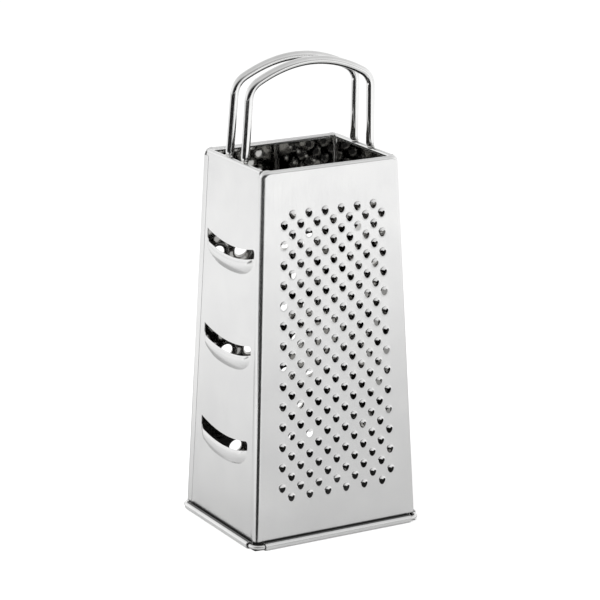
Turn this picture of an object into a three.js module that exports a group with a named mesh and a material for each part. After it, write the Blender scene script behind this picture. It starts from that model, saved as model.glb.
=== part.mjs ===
// Four-sided box grater: four pressed sheet panels, a base wire inside their rolled feet and a double wire handle.
// Millimetres, +Z up, with the origin on the floor under the middle of the body.
// X runs along the wide front and back panels and Y along the narrow side panels. The front faces -Y.

import * as THREE from 'three';

// Body, over the outside faces of the wide panels and of their bent corners
const BODY_HEIGHT = 183.6;
const RIM_WIDTH = 74.3;
const RIM_DEPTH = 59.7;
const FOOT_WIDTH = 90.2;
const FOOT_DEPTH = 72.8;
const SHEET = 0.5;

// Corners: the wide panels bend round them and lap over the narrow panels
const CORNER_RADIUS = 2.5;
const CORNER_FACETS = 3;
const LAP_WIDTH = 1.2;
const LAP_GAP = 0.3;

// Rim, rolled inwards along each panel
const RIM_ROLL_RADIUS = 1.4;
const RIM_ROLL_FACETS = 7;
const RIM_ROLL_END_GAP = 0.4;
const RIM_NOTCH = 3;

// Foot, rolled outwards round the base wire
const BASE_WIRE_DIAMETER = 2.4;
const BASE_WIRE_GAP = 0.2;
const BASE_WIRE_BUTT_GAP = 0.5;
const FOOT_ROLL_FACETS = 9;
const FOOT_NOTCH_WIDTH = 2;
const FOOT_NOTCH_GAP = 0.3;

// Handle: two arched wires that lean together, with their round ends welded on the rim of the narrow panels
const HANDLE_WIRE_DIAMETER = 4.1;
const HANDLE_RISE = 47.3;
const HANDLE_SHOULDER_DROP = 10;
const HANDLE_SHOULDER_SHARE = 0.15;
const HANDLE_LEG_LEAN = 1.3;
const HANDLE_SIDE_LEAN = 2;
const HANDLE_GAP_AT_RIM = 11.2;
const HANDLE_GAP_AT_TOP = 9.8;
const HANDLE_SEAT_ANGLE = THREE.MathUtils.degToRad(72);
const HANDLE_WELD_GAP = 0.3;

// Fine rasp holes of the front panel, in staggered rows that fan out with the taper
const FINE = {
  pitch: 8.65, rowStep: 4.94, topMargin: 21.3, bottomMargin: 22, sideMargin: 10, sideShift: 0,
  sides: 4, collarRadius: 2.9, holeRadius: 1.75, lowRise: 0.9, highRise: 0.9,
};

// Coarse shredding holes of the back panel, hooded so that each lower edge stands proud
const COARSE = {
  pitch: 12, rowStep: 17.1, topMargin: 36.8, bottomMargin: 24, sideMargin: 11, sideShift: 2,
  sides: 8, collarRadius: 4.9, holeRadius: 3.3, lowRise: 2.4, highRise: 0.4,
};

// Small grating points of the right panel
const POINTS = {
  pitch: 8, rowStep: 7, topMargin: 20, bottomMargin: 20, sideMargin: 9, sideShift: 0,
  sides: 4, collarRadius: 1.9, holeRadius: 0.8, lowRise: 1.2, highRise: 1.2,
};

// Slicing slots of the left panel: each one smiles, and the sheet below it is pressed out into a blade
const SLOT_STEP = 47;
const SLOT_TOP_MARGIN = 38.3;
const SLOT_BOTTOM_MARGIN = 40;
const SLOT_SIDE_MARGIN = 6.4;
const SLOT_SAG = 3.3;
const SLOT_GAP = 4.6;
const SLOT_END_BLUNTNESS = 10;
const SLOT_LIP_HEIGHT = 7.4;
const SLOT_LIP_BLUNTNESS = 4;
const SLOT_BLADE_RISE = 1.8;
const SLOT_STEPS = 12;
const SLOT_LIP_ROWS = 3;

// Facets of the round wires and rolls, and the margin of angles that count as equal
const ROLL_FACET_ANGLE = Math.PI / 6;
const BASE_WIRE_SIDES = 12;
const BASE_WIRE_BEND_STEPS = 4;
const HANDLE_SIDES = 10;
const HANDLE_BEND_STEPS = 6;
const HANDLE_ARCH_STEPS = 14;
const ROUND_END_STEPS = 3;
const ANGLE_MARGIN = 1e-6;

// Places worked out from the sizes above
const halfWidth = (z) => THREE.MathUtils.lerp(FOOT_WIDTH, RIM_WIDTH, z / BODY_HEIGHT) / 2;
const halfDepth = (z) => THREE.MathUtils.lerp(FOOT_DEPTH, RIM_DEPTH, z / BODY_HEIGHT) / 2;
const HALF_FACET = ROLL_FACET_ANGLE / 2;
const NARROW_INSET = SHEET + LAP_GAP;
const BASE_WIRE_RADIUS = BASE_WIRE_DIAMETER / 2;
const FOOT_ROLL_RADIUS = BASE_WIRE_RADIUS + BASE_WIRE_GAP + SHEET;
const FOOT_ROLL_START = FOOT_ROLL_RADIUS * (1 - Math.tan(HALF_FACET));
const FOOT_ROLL_SETBACK = CORNER_RADIUS + FOOT_NOTCH_WIDTH;
const FOOT_ROLL_AXIS = FOOT_ROLL_RADIUS - SHEET;
const CORNER_FOOT = 2 * FOOT_ROLL_RADIUS + FOOT_NOTCH_GAP;
const RIM_ROLL_START = BODY_HEIGHT - RIM_ROLL_RADIUS * (1 - Math.tan(HALF_FACET));
const RIM_ROLL_SETBACK = Math.max(CORNER_RADIUS, NARROW_INSET + 2 * RIM_ROLL_RADIUS) + RIM_ROLL_END_GAP;
const CORNER_TOP = BODY_HEIGHT - RIM_NOTCH;
const SLOT_WIDTH = RIM_DEPTH - 2 * SLOT_SIDE_MARGIN;
const SLOT_COUNT = Math.floor((BODY_HEIGHT - SLOT_TOP_MARGIN - SLOT_BOTTOM_MARGIN) / SLOT_STEP) + 1;

// A wide panel and a narrow panel, each by its half width and by the distance of its outer face from the axis
const WIDE = { half: halfWidth, out: halfDepth, bent: true };
const NARROW = { half: halfDepth, out: (z) => halfWidth(z) - NARROW_INSET, bent: false };

// Swaps the diagonals of neighbouring triangles until the two angles that face each diagonal are small enough
function withoutThinTriangles(start, flat) {
  const triangles = start.slice();
  const owners = new Map();
  const own = (t) => {
    const [a, b, c] = triangles[t];
    owners.set(`${a},${b}`, t).set(`${b},${c}`, t).set(`${c},${a}`, t);
  };
  const angleAt = (tip, a, b) => flat(a).sub(flat(tip)).angleTo(flat(b).sub(flat(tip)));
  triangles.forEach((_, t) => own(t));
  const waiting = [...owners.keys()];
  while (waiting.length > 0) {
    const [a, b] = waiting.pop().split(',').map(Number);
    const near = owners.get(`${a},${b}`);
    const far = owners.get(`${b},${a}`);
    if (near !== undefined && far !== undefined) {
      const c = triangles[near].find((i) => i !== a && i !== b);
      const d = triangles[far].find((i) => i !== a && i !== b);
      if (angleAt(c, a, b) + angleAt(d, a, b) > Math.PI + ANGLE_MARGIN) {
        owners.delete(`${a},${b}`);
        owners.delete(`${b},${a}`);
        triangles[near] = [a, d, c];
        triangles[far] = [d, b, c];
        own(near);
        own(far);
        waiting.push(`${a},${d}`, `${d},${b}`, `${b},${c}`, `${c},${a}`);
      }
    }
  }
  return triangles;
}

// A cut and pressed sheet: a net of points, each with a place on the outer and on the inner side
class PressedSheet {
  constructor(panel) {
    this.panel = panel;
    this.outer = [];
    this.inner = [];
    this.triangles = [];
  }

  point(outer, inner) {
    this.outer.push(outer);
    this.inner.push(inner);
    return this.outer.length - 1;
  }

  // A point of the flat face, raised outwards by rise. A sharp point has no thickness.
  facePoint(s, z, rise = 0, sharp = false) {
    const out = this.panel.out(z) + rise;
    const outer = new THREE.Vector3(s, -out, z);
    const inner = sharp ? outer : new THREE.Vector3(s, -(out - SHEET), z);
    return this.point(outer, inner);
  }

  strip(lower, upper) {
    for (let i = 0; i + 1 < lower.length; i += 1) {
      this.triangles.push([lower[i], lower[i + 1], upper[i + 1]]);
      this.triangles.push([lower[i], upper[i + 1], upper[i]]);
    }
  }

  // Fills an outline that has holes in it. Outlines and holes are lists of point numbers.
  fill(outline, holes) {
    const flat = (i) => new THREE.Vector2(this.outer[i].x, this.outer[i].z);
    const numbers = [outline, ...holes].flat();
    const faces = THREE.ShapeUtils.triangulateShape(outline.map(flat), holes.map((hole) => hole.map(flat)));
    const triangles = faces.map((face) => face.map((i) => numbers[i]));
    const turn = ([a, b, c]) => flat(b).sub(flat(a)).cross(flat(c).sub(flat(a)));
    const facesOut = triangles.reduce((sum, triangle) => sum + turn(triangle), 0) > 0;
    const turned = facesOut ? triangles : triangles.map(([a, b, c]) => [a, c, b]);
    this.triangles.push(...withoutThinTriangles(turned, flat));
  }

  // The closed solid: both sides of the sheet, and a wall along every free edge
  solid() {
    const count = this.outer.length;
    const far = (i) => (this.inner[i] === this.outer[i] ? i : i + count);
    const edges = new Set();
    for (const [a, b, c] of this.triangles) {
      edges.add(`${a},${b}`).add(`${b},${c}`).add(`${c},${a}`);
    }
    const index = [];
    const addTriangle = (a, b, c) => {
      if (a !== b && b !== c && c !== a) {
        index.push(a, b, c);
      }
    };
    for (const [a, b, c] of this.triangles) {
      addTriangle(a, b, c);
      addTriangle(far(c), far(b), far(a));
      for (const [from, to] of [[a, b], [b, c], [c, a]]) {
        if (!edges.has(`${to},${from}`)) {
          addTriangle(to, from, far(from));
          addTriangle(to, far(from), far(to));
        }
      }
    }
    const geometry = new THREE.BufferGeometry().setFromPoints([...this.outer, ...this.inner]);
    geometry.setIndex(index);
    geometry.computeVertexNormals();
    return geometry;
  }
}

// The point of a rim roll at one facet corner, for a place s along the panel
function rimRollPoint(sheet, s, facet) {
  const angle = HALF_FACET + facet * ROLL_FACET_ANGLE;
  const place = (radius) => {
    const reach = radius / Math.cos(HALF_FACET);
    const out = sheet.panel.out(RIM_ROLL_START) - RIM_ROLL_RADIUS + reach * Math.cos(angle);
    return new THREE.Vector3(s, -out, BODY_HEIGHT - RIM_ROLL_RADIUS + reach * Math.sin(angle));
  };
  return sheet.point(place(RIM_ROLL_RADIUS), place(RIM_ROLL_RADIUS - SHEET));
}

// The point of a foot roll at one facet corner. The sheet's inner side is the outside of this roll.
function footRollPoint(sheet, s, facet) {
  const angle = HALF_FACET + facet * ROLL_FACET_ANGLE;
  const place = (radius) => {
    const reach = radius / Math.cos(HALF_FACET);
    const out = sheet.panel.out(FOOT_ROLL_START) + FOOT_ROLL_AXIS - reach * Math.cos(angle);
    return new THREE.Vector3(s, -out, FOOT_ROLL_RADIUS - reach * Math.sin(angle));
  };
  return sheet.point(place(FOOT_ROLL_RADIUS - SHEET), place(FOOT_ROLL_RADIUS));
}

// A column of the bent corner, at one angle of the bend and a distance past the end of the bend
function bendColumn(sheet, side, angle, past) {
  const place = (z, radius) => {
    const s = sheet.panel.half(z) - CORNER_RADIUS + radius * Math.sin(angle);
    const out = sheet.panel.out(z) - CORNER_RADIUS + radius * Math.cos(angle) - past;
    return new THREE.Vector3(side * s, -out, z);
  };
  const columnPoint = (z) => sheet.point(place(z, CORNER_RADIUS), place(z, CORNER_RADIUS - SHEET));
  return [columnPoint(CORNER_FOOT), columnPoint(CORNER_TOP)];
}

// Bends the sheet round a corner from an edge of its face and adds the flange that laps the next panel
function addBend(sheet, side, edge) {
  let last = edge;
  const addColumn = (column) => {
    sheet.strip(side > 0 ? column : last, side > 0 ? last : column);
    last = column;
  };
  for (let i = 1; i <= CORNER_FACETS; i += 1) {
    addColumn(bendColumn(sheet, side, (Math.PI / 2) * (i / CORNER_FACETS), 0));
  }
  addColumn(bendColumn(sheet, side, Math.PI / 2, LAP_WIDTH));
}

// The flat face between its two rolls and its two side edges, with the holes given
function addFace(sheet, holes) {
  const { half } = sheet.panel;
  const edge = (z) => half(z) - CORNER_RADIUS;
  const footEnd = half(FOOT_ROLL_START) - FOOT_ROLL_SETBACK;
  const rimEnd = half(RIM_ROLL_START) - RIM_ROLL_SETBACK;
  const foot = [footRollPoint(sheet, -footEnd, 0), footRollPoint(sheet, footEnd, 0)];
  const rim = [rimRollPoint(sheet, -rimEnd, 0), rimRollPoint(sheet, rimEnd, 0)];
  const sideEdge = (side) => [
    sheet.facePoint(side * edge(CORNER_FOOT), CORNER_FOOT),
    sheet.facePoint(side * edge(CORNER_TOP), CORNER_TOP),
  ];
  const left = sideEdge(-1);
  const right = sideEdge(1);
  const notch = [sheet.facePoint(-footEnd, CORNER_FOOT), sheet.facePoint(footEnd, CORNER_FOOT)];
  const outline = [
    left[0], notch[0], foot[0], foot[1], notch[1], right[0], right[1], rim[1], rim[0], left[1],
  ];
  sheet.fill(outline, holes);

  let row = rim;
  for (let facet = 1; facet <= RIM_ROLL_FACETS; facet += 1) {
    const next = [rimRollPoint(sheet, -rimEnd, facet), rimRollPoint(sheet, rimEnd, facet)];
    sheet.strip(row, next);
    row = next;
  }
  row = foot;
  for (let facet = 1; facet <= FOOT_ROLL_FACETS; facet += 1) {
    const next = [footRollPoint(sheet, -footEnd, facet), footRollPoint(sheet, footEnd, facet)];
    sheet.strip(next, row);
    row = next;
  }
  if (sheet.panel.bent) {
    addBend(sheet, -1, left);
    addBend(sheet, 1, right);
  }
}

// The centres of a staggered pattern, which fans out as the panel widens towards its foot
function staggeredCentres(panel, pattern) {
  const rows = Math.floor((BODY_HEIGHT - pattern.topMargin - pattern.bottomMargin) / pattern.rowStep) + 1;
  const longRow = Math.floor((2 * (panel.half(BODY_HEIGHT) - pattern.sideMargin)) / pattern.pitch) + 1;
  const centres = [];
  for (let row = 0; row < rows; row += 1) {
    const z = BODY_HEIGHT - pattern.topMargin - row * pattern.rowStep;
    const columns = row % 2 === 0 ? longRow - 1 : longRow;
    const fan = panel.half(z) / panel.half(BODY_HEIGHT);
    for (let column = 0; column < columns; column += 1) {
      const place = (column - (columns - 1) / 2) * pattern.pitch + pattern.sideShift;
      centres.push({ s: place * fan, z });
    }
  }
  return centres;
}

// Presses one collar out of the face, up to a sharp rim. Returns the outline that it leaves in the face.
function addCollar(sheet, centre, pattern) {
  const collar = [];
  const rim = [];
  for (let i = 0; i < pattern.sides; i += 1) {
    const angle = Math.PI / 2 + (i / pattern.sides) * 2 * Math.PI;
    const towards = { s: Math.cos(angle), z: Math.sin(angle) };
    const rise = THREE.MathUtils.lerp(pattern.lowRise, pattern.highRise, (1 + towards.z) / 2);
    const place = (radius) => [centre.s + radius * towards.s, centre.z + radius * towards.z];
    collar.push(sheet.facePoint(...place(pattern.collarRadius)));
    rim.push(sheet.facePoint(...place(pattern.holeRadius), rise, true));
  }
  sheet.strip([...collar, collar[0]], [...rim, rim[0]]);
  return collar;
}

// Presses one slicing slot, with its top corners at the height z. Returns the outline that it leaves in the face.
function addSlot(sheet, z) {
  const row = (gap, drop, rise) => {
    const points = [];
    for (let i = 1; i < SLOT_STEPS; i += 1) {
      const u = -Math.cos((i / SLOT_STEPS) * Math.PI);
      const gapShape = Math.sqrt(1 - Math.abs(u) ** SLOT_END_BLUNTNESS);
      const lipShape = Math.sqrt(1 - Math.abs(u) ** SLOT_LIP_BLUNTNESS);
      const height = z - SLOT_SAG * (1 - u ** 2) - gap * gapShape - drop * lipShape;
      points.push(sheet.facePoint((u * SLOT_WIDTH) / 2, height, rise * lipShape));
    }
    return points;
  };
  const ends = [sheet.facePoint(-SLOT_WIDTH / 2, z), sheet.facePoint(SLOT_WIDTH / 2, z)];
  const upper = row(0, 0, 0);
  const lip = [];
  for (let i = 0; i <= SLOT_LIP_ROWS; i += 1) {
    const down = i / SLOT_LIP_ROWS;
    lip.push(row(SLOT_GAP, SLOT_LIP_HEIGHT * down, SLOT_BLADE_RISE * Math.cos((down * Math.PI) / 2)));
  }
  for (let i = 0; i < SLOT_LIP_ROWS; i += 1) {
    sheet.strip(lip[i + 1], lip[i]);
    sheet.triangles.push([ends[0], lip[i + 1].at(0), lip[i].at(0)]);
    sheet.triangles.push([ends[1], lip[i].at(-1), lip[i + 1].at(-1)]);
  }
  return [ends[0], ...lip[SLOT_LIP_ROWS], ends[1], ...upper.reverse()];
}

function perforatedPanel(panel, pattern) {
  const sheet = new PressedSheet(panel);
  addFace(sheet, staggeredCentres(panel, pattern).map((centre) => addCollar(sheet, centre, pattern)));
  return sheet.solid();
}

function slottedPanel(panel) {
  const sheet = new PressedSheet(panel);
  const slots = Array.from({ length: SLOT_COUNT }, (_, i) => BODY_HEIGHT - SLOT_TOP_MARGIN - i * SLOT_STEP);
  addFace(sheet, slots.map((z) => addSlot(sheet, z)));
  return sheet.solid();
}

// A round wire along a list of points in one plane, whose normal is given. The ends are flat or round.
function wireAlong(points, planeNormal, radius, sides, roundEnds) {
  const vertices = [];
  const reach = radius / Math.cos(Math.PI / sides);
  const addRing = (centre, tangent, scale, shift) => {
    const across = new THREE.Vector3().crossVectors(planeNormal, tangent).normalize();
    for (let i = 0; i < sides; i += 1) {
      const angle = ((i + 0.5) / sides) * 2 * Math.PI;
      const offset = across.clone().multiplyScalar(Math.cos(angle)).addScaledVector(planeNormal, Math.sin(angle));
      vertices.push(centre.clone().addScaledVector(tangent, shift).addScaledVector(offset, reach * scale));
    }
  };
  const tangents = points.map((point, i) => {
    const before = points[Math.max(i - 1, 0)];
    const after = points[Math.min(i + 1, points.length - 1)];
    const back = point.clone().sub(before).normalize();
    return after.clone().sub(point).normalize().add(back).normalize();
  });
  const roundEnd = (i, way) => {
    for (let step = 1; step < ROUND_END_STEPS; step += 1) {
      const angle = (Math.PI / 2) * (way < 0 ? 1 - step / ROUND_END_STEPS : step / ROUND_END_STEPS);
      addRing(points[i], tangents[i], Math.cos(angle), way * radius * Math.sin(angle));
    }
  };
  const last = points.length - 1;
  if (roundEnds) {
    roundEnd(0, -1);
  }
  points.forEach((point, i) => addRing(point, tangents[i], 1, 0));
  if (roundEnds) {
    roundEnd(last, 1);
  }
  const rings = vertices.length / sides;
  const endShift = roundEnds ? radius : 0;
  const startTip = vertices.push(points[0].clone().addScaledVector(tangents[0], -endShift)) - 1;
  const endTip = vertices.push(points[last].clone().addScaledVector(tangents[last], endShift)) - 1;
  const index = [];
  for (let i = 0; i < sides; i += 1) {
    const j = (i + 1) % sides;
    index.push(startTip, j, i);
    index.push(endTip, (rings - 1) * sides + i, (rings - 1) * sides + j);
    for (let ring = 0; ring + 1 < rings; ring += 1) {
      const a = ring * sides;
      const b = a + sides;
      index.push(a + i, a + j, b + j, a + i, b + j, b + i);
    }
  }
  const geometry = new THREE.BufferGeometry().setFromPoints(vertices);
  geometry.setIndex(index);
  geometry.computeVertexNormals();
  return geometry;
}

// The base wire runs round inside the four foot rolls. Its ends butt in the middle of the back roll.
function baseWire() {
  const halfX = NARROW.out(FOOT_ROLL_START) + FOOT_ROLL_AXIS;
  const halfY = WIDE.out(FOOT_ROLL_START) + FOOT_ROLL_AXIS;
  const bend = FOOT_ROLL_SETBACK;
  const points = [new THREE.Vector3(-BASE_WIRE_BUTT_GAP / 2, halfY, FOOT_ROLL_RADIUS)];
  const corners = [[-1, 1], [-1, -1], [1, -1], [1, 1]];
  corners.forEach(([sideX, sideY], corner) => {
    for (let i = 0; i <= BASE_WIRE_BEND_STEPS; i += 1) {
      const angle = (Math.PI / 2) * (corner + 1 + i / BASE_WIRE_BEND_STEPS);
      const x = sideX * (halfX - bend) + bend * Math.cos(angle);
      const y = sideY * (halfY - bend) + bend * Math.sin(angle);
      points.push(new THREE.Vector3(x, y, FOOT_ROLL_RADIUS));
    }
  });
  points.push(new THREE.Vector3(BASE_WIRE_BUTT_GAP / 2, halfY, FOOT_ROLL_RADIUS));
  return wireAlong(points, new THREE.Vector3(0, 0, 1), BASE_WIRE_RADIUS, BASE_WIRE_SIDES, false);
}

// One handle wire, on the front side (-1) or the rear side (1) of the rim, leaning towards the other one
function handleWire(side) {
  const radius = HANDLE_WIRE_DIAMETER / 2;
  const seatReach = RIM_ROLL_RADIUS + HANDLE_WELD_GAP + radius;
  const rollX = NARROW.out(RIM_ROLL_START) - RIM_ROLL_RADIUS;
  const endX = rollX - seatReach * Math.cos(HANDLE_SEAT_ANGLE);
  const endZ = BODY_HEIGHT - RIM_ROLL_RADIUS + seatReach * Math.sin(HANDLE_SEAT_ANGLE);
  const crestZ = BODY_HEIGHT + HANDLE_RISE - radius;
  const shoulderZ = crestZ - HANDLE_SHOULDER_DROP;
  const share = HANDLE_SHOULDER_SHARE;
  const archZ = (2 * crestZ - shoulderZ * (1 - share)) / (1 + share);
  const end = new THREE.Vector2(endX, endZ);
  const shoulder = new THREE.Vector2(endX - HANDLE_LEG_LEAN, shoulderZ);
  const arch = new THREE.Vector2(0, archZ);
  const archStart = shoulder.clone().lerp(arch, share);
  const legShare = archStart.distanceTo(shoulder) / end.distanceTo(shoulder);
  const legEnd = shoulder.clone().lerp(end, legShare);
  const otherSide = (point) => new THREE.Vector2(-point.x, point.y);

  const shoulderBend = new THREE.QuadraticBezierCurve(legEnd, shoulder, archStart).getPoints(HANDLE_BEND_STEPS);
  const archBend = new THREE.QuadraticBezierCurve(archStart, arch, otherSide(archStart));
  const archPoints = archBend.getPoints(HANDLE_ARCH_STEPS).slice(1, -1);
  const right = [end, ...shoulderBend];
  const outline = [...right, ...archPoints, ...right.map(otherSide).reverse()];

  const rimY = side * (HANDLE_GAP_AT_RIM / 2 + radius);
  const crestY = side * (HANDLE_GAP_AT_TOP / 2 + radius);
  const leanX = HANDLE_SIDE_LEAN / (crestZ - endZ);
  const leanY = (crestY - rimY) / (crestZ - endZ);
  const points = outline.map(({ x, y: z }) => {
    const rise = z - endZ;
    return new THREE.Vector3(x + leanX * rise, rimY + leanY * rise, z);
  });
  const planeNormal = new THREE.Vector3(0, -1, leanY).normalize();
  return wireAlong(points, planeNormal, radius, HANDLE_SIDES, true);
}

// Finishes
const satinSteel = () => new THREE.MeshStandardMaterial({ color: 0xd2d3d4, roughness: 0.32, metalness: 1 });
const brightWire = () => new THREE.MeshStandardMaterial({ color: 0xdcdddd, roughness: 0.12, metalness: 1 });

const grater = new THREE.Group();

function addPiece(name, geometry, material, turn = 0) {
  const mesh = new THREE.Mesh(geometry, material);
  mesh.name = name;
  mesh.rotation.z = turn;
  grater.add(mesh);
}

addPiece('front_panel', perforatedPanel(WIDE, FINE), satinSteel());
addPiece('back_panel', perforatedPanel(WIDE, COARSE), satinSteel(), Math.PI);
addPiece('left_panel', slottedPanel(NARROW), satinSteel(), -Math.PI / 2);
addPiece('right_panel', perforatedPanel(NARROW, POINTS), satinSteel(), Math.PI / 2);
addPiece('base_wire', baseWire(), brightWire());
addPiece('handle_wire_front', handleWire(-1), brightWire());
addPiece('handle_wire_rear', handleWire(1), brightWire());

export default grater;
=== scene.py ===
import math
import random

import bpy
from mathutils import Matrix, Vector
from mathutils.geometry import delaunay_2d_cdt


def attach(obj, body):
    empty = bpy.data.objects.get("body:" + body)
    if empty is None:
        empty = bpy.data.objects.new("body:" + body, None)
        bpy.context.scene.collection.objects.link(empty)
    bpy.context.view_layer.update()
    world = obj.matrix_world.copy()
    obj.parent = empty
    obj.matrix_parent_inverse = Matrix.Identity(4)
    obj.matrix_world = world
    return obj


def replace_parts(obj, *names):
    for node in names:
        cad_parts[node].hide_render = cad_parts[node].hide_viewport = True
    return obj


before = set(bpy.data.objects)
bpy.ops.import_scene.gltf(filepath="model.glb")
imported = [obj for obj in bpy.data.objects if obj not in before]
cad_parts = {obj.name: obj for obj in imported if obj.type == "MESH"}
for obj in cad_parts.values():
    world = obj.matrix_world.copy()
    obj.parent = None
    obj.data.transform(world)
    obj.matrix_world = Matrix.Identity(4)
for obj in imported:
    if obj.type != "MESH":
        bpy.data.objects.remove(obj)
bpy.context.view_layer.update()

# A four-sided box grater of pressed steel sheet and bright wire on a white studio floor.
# Sizes are in millimetres, in the frame of the solids, and become metres when a mesh is made.
MM = 0.001

# Body, over the outside faces of the wide panels and of their bent corners
BODY_HEIGHT = 183.6
RIM_WIDTH = 74.3
RIM_DEPTH = 59.7
FOOT_WIDTH = 90.2
FOOT_DEPTH = 72.8
SHEET = 0.5

# Corners: the wide panels bend round them and lap over the narrow panels
CORNER_RADIUS = 2.5
LAP_WIDTH = 2.9
LAP_GAP = 0.03
LAP_EDGE = 0.05

# Rim, rolled inwards along each panel
RIM_ROLL_RADIUS = 1.4
RIM_ROLL_TURN = math.radians(225)
RIM_ROLL_END_GAP = 0.4
RIM_NOTCH = 3.0
RIM_CORNER_ROUND = 3.0

# Foot, rolled outwards round the base wire. Past the crevice turn the roll lies in the shade of the panel,
# which is painted on its colour.
BASE_WIRE_DIAMETER = 1.9
BASE_WIRE_GAP = 0.45
BASE_WIRE_BUTT_GAP = 0.5
FOOT_ROLL_TURN = math.radians(310)
FOOT_CREVICE_TURN = math.radians(245)
FOOT_NOTCH_WIDTH = 2.0
FOOT_NOTCH_GAP = 0.3

# Handle: two arched wires that lean together, with their round ends welded on the rim of the narrow panels
HANDLE_WIRE_DIAMETER = 4.1
HANDLE_RISE = 47.3
HANDLE_SHOULDER_DROP = 10.0
HANDLE_SHOULDER_SHARE = 0.15
HANDLE_LEG_LEAN = 1.3
HANDLE_SIDE_LEAN = 2.0
HANDLE_GAP_AT_RIM = 11.2
HANDLE_GAP_AT_TOP = 9.8
HANDLE_SEAT_ANGLE = math.radians(72)
HANDLE_WELD_GAP = 0.3
HANDLE_LEG_END_SHARE = 0.02

# Weld beads under the ends of the handle wires: half lengths along the rim, round the roll and out of it
WELD_SIZE = (2.3, 1.6, 1.0)
WELD_RINGS = 12
WELD_SIDES = 24
WELD_WAVES = 3
WELD_WAVE_TURNS = (2, 5)
WELD_WAVE_SIZES = (0.03, 0.09)
WELD_ROUGHNESS = (0.14, 0.28)
WELD_SEED = 7

# Patterns of holes, in staggered rows that fan out with the taper: spacing in a row, number of rows, step
# from row to row and its growth, distance of the first row from the rim, least margin at the sides and
# shift to the right
FINE = dict(pitch=8.54, rows=29, row_step=4.76, row_growth=0.006, top=22.1, side=10.0, shift=0.5)
COARSE = dict(pitch=12.0, rows=8, row_step=17.1, row_growth=0.0, top=36.8, side=11.0, shift=2.0)
POINTS = dict(pitch=8.0, rows=21, row_step=7.0, row_growth=0.0, top=20.0, side=9.0, shift=0.0)

# Torn rims of the fine holes: waves of the heart round the hole, and how sharply its tooth leans in and rises
HEART_WAVES = 3
TOOTH_SHARPNESS = 6
TOOTH_RISE_SHARPNESS = 2

# Slicing slots of the left panel, each with a lip pressed out below it
SLOT_STEP = 47.1
SLOT_TOP_MARGIN = 38.0
SLOT_COUNT = 3
SLOT_SIDE_MARGIN = 6.2
SLOT_SHIFT = 0.5
SLOT_SAG = 3.3
SLOT_GAP = 4.6
SLOT_CORNER_ROUND = 1.8
SLOT_END_SPREAD = 5.2
SLOT_LIP_HEIGHT = 7.6
SLOT_LIP_BLUNTNESS = 5
SLOT_LIP_CREST = 0.32
SLOT_CREASE = 0.06
SLOT_CREASE_CURVE = 0.5
SLOT_LIP_CURVE_ABOVE_CREST = 2
SLOT_LIP_CURVE_BELOW_CREST = 2.3
SLOT_BLADE_RISE = 1.9
SLOT_BLADE_EDGE = 0.12
SLOT_BLADE_THICKENING = 3
SLOT_MARGIN = 0.3
SLOT_STEPS = 44
SLOT_LIP_ROWS = 18
SLOT_CORNER_STEPS = 5

# Steps and limits of the meshes
ROLL_STEPS = 16
RIM_CORNER_STEPS = 6
FOOT_ROLL_STEPS = 28
FLAT_MARGIN = 0.4
WIRE_SIDES = 32
BASE_WIRE_BEND_STEPS = 10
HANDLE_BEND_STEPS = 14
HANDLE_ARCH_STEPS = 40
ROUND_END_STEPS = 8
SHARP_ANGLE = math.radians(42)
MITRE_LIMIT = 0.5
FILL_TOLERANCE = 1e-9

# Painted shade in the crevice between the foot roll and the panel, darkening the colour: heights and levels,
# and the height the shade spans
CREVICE_SHADE = ((2.8, 1.0), (3.0, 0.15), (4.1, 0.15), (4.7, 1.0))
CREVICE_SHADE_SPAN = 10.0

# Camera, fitted to the photograph, with its angles in radians
CAMERA_TARGET = Vector((0, 0, 93.6)) * MM
CAMERA_DISTANCE = 1409.4 * MM
CAMERA_AZIMUTH = 0.5129
CAMERA_ELEVATION = 0.28913
CAMERA_ROLL = 0.00168
CAMERA_LENS = 173.7
CAMERA_SENSOR = 36
CAMERA_SHIFT = (-0.00035, 0.0531)

# Metal and paper: the usual range of noise, and the detail of the clouds and of the grain
NOISE_LOW = 0.3
NOISE_HIGH = 0.7
CLOUD_DETAIL = 3
GRAIN_DETAIL = 2

# Floor, in metres. The camera sees it lifted to white, and inside the body its colour is darkened as painted
# deep shade.
FLOOR_HALF = 4.0
FLOOR_COLOUR = 0.62
FLOOR_MOTTLE = 0.01
FLOOR_GRAIN = 900
FLOOR_ROUGHNESS = 0.9
FLOOR_PAINTED_SHADE_INSIDE = 0.25
FLOOR_LIFT = 0.62

# What the metal sees of the floor: the light of its left and of its right half, how far off it is full, and
# the curve by which it grows
GLOW_NEAR = 0.08
LEFT_GLOW = (0.39, 0.66, 0.6)
RIGHT_GLOW = (0.57, 0.9, 1.6)

# Two cards lie on the floor and show only in the metal, as painted reflections: a dark one towards the
# camera, as the unlit room would show, and a grey one behind the body, as painted shadow of the body on the
# floor there.
# Corners of the dark card are reaches in metres and turns in degrees from the way to the camera, and those of
# the grey card are places in millimetres.
CARD_LIFT = 0.3 * MM
DARK_CARD_START = Vector((-48.0, -40.0)) * MM
DARK_CARD = (
    (0.004, 24), (0.46, 22), (0.7, 24), (3.8, 8), (3.8, -35), (3.8, -85),
    (0.64, -78), (0.58, -46), (0.004, -44),
)
DARK_CARD_LEVEL = 0.02
PAINTED_SHADE_CARD = ((-50, 50), (-150, 300), (40, 300), (40, 50))
PAINTED_SHADE_CARD_LEVEL = 0.43

# World: its light, its levels from straight down to straight up, and the dark room at the camera
WORLD_LIGHT = 0.6
CEILING = ((0.0, 1.0), (0.64, 1.0), (0.75, 0.8), (1.0, 0.6))
ROOM_HEIGHT = 0.55
ROOM_EDGE = 0.12
ROOM_DARK = 0.75
ROOM_LEVEL = 0.02

# Lamp: one large soft box, high up on the left towards the camera, in metres and watts
LAMP_SIZE = 1.3
LAMP_ENERGY = 16.0
LAMP_PLACE = Vector((-0.75, -0.55, 1.2))
LAMP_TARGET = Vector((0, 0, 0.1))

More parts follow.
